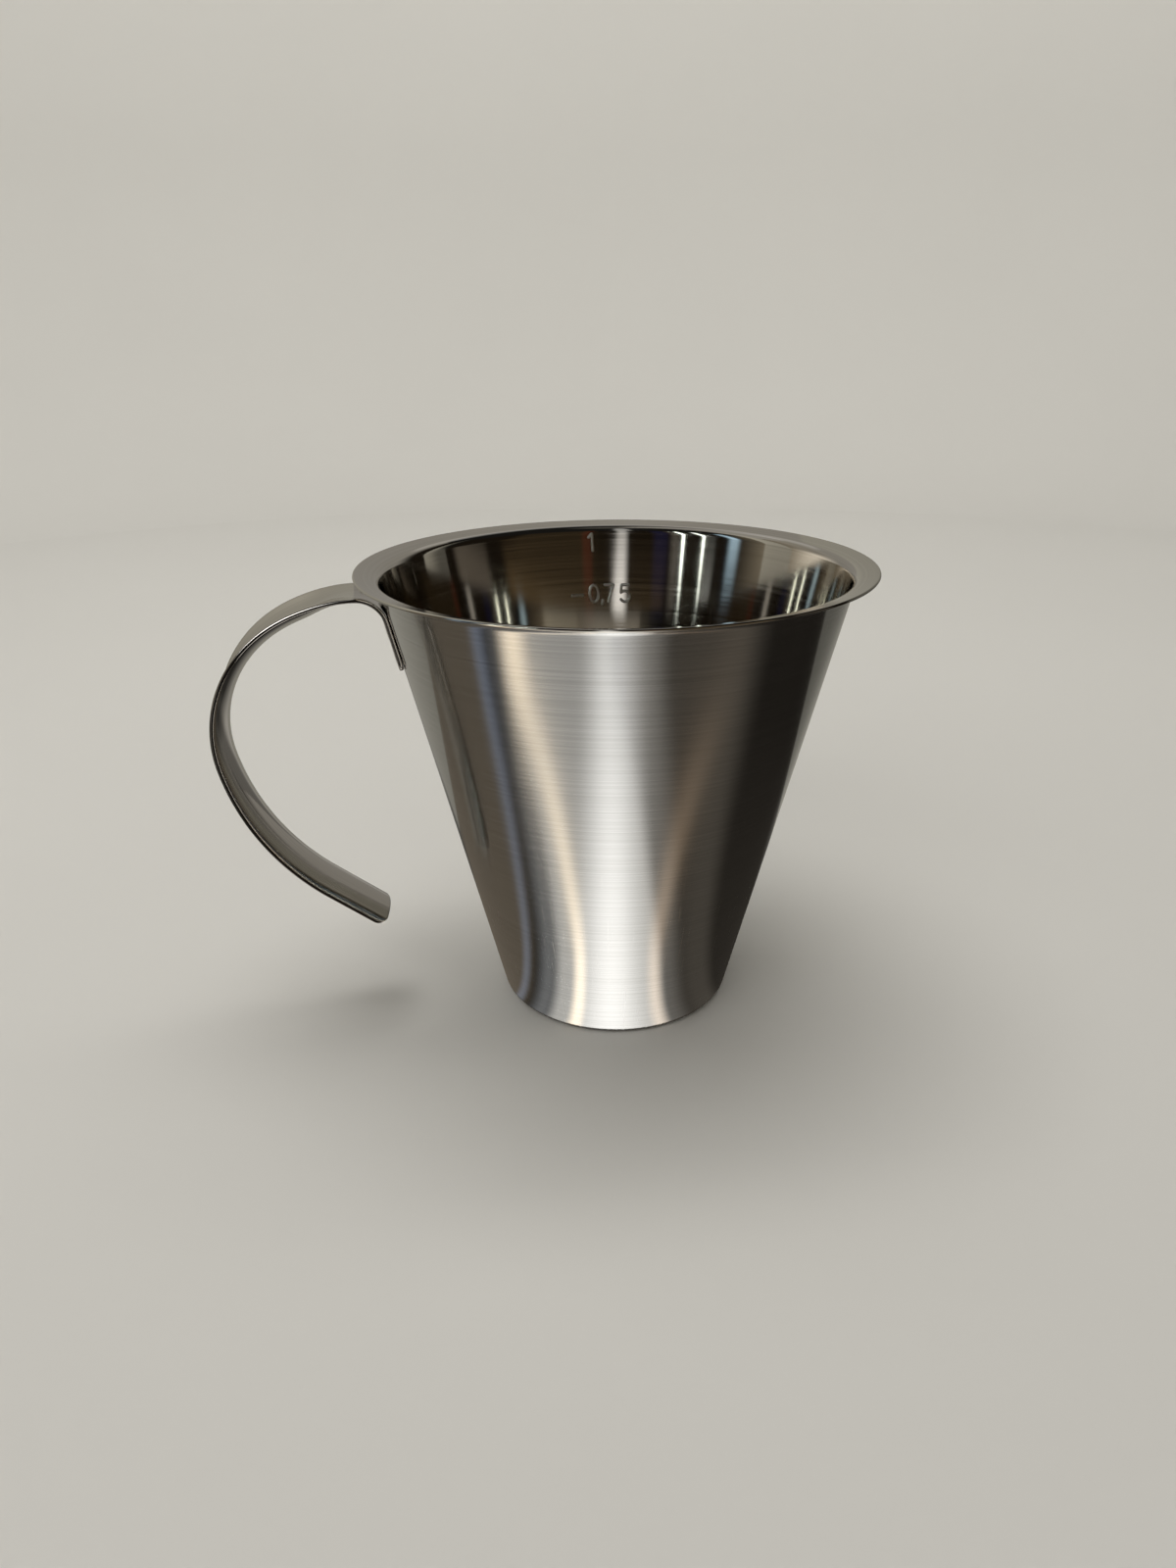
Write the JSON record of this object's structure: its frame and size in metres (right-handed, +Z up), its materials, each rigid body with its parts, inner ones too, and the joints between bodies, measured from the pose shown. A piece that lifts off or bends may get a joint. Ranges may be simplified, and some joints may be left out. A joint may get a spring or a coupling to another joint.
{
  "type": "measuring jug",
  "caption": "Conical stainless steel measuring jug with a turned-out pouring rim, a scale inside the wall and an open crowned strip handle spot-welded under the rim.",
  "frame": {"origin": "on the axis of the jug, in the plane of the table that it stands on", "axes": "+Z up along the jug's axis, -X towards the handle, +Y to the handle's right as seen from the jug's axis, looking out along the handle"},
  "size_m": [0.1826, 0.142, 0.131],
  "materials": {
    "satin_steel": "stainless steel sheet, brushed round the outside, brighter inside and on the rim",
    "polished_steel": "stainless steel strip, polished, edges rounded over",
    "weld_steel": "fused stainless steel of the spot welds"
  },
  "bodies": {
    "root": {"jug_body": "satin_steel", "handle": "polished_steel", "spot_welds": "weld_steel"}
  },
  "joints": []
}
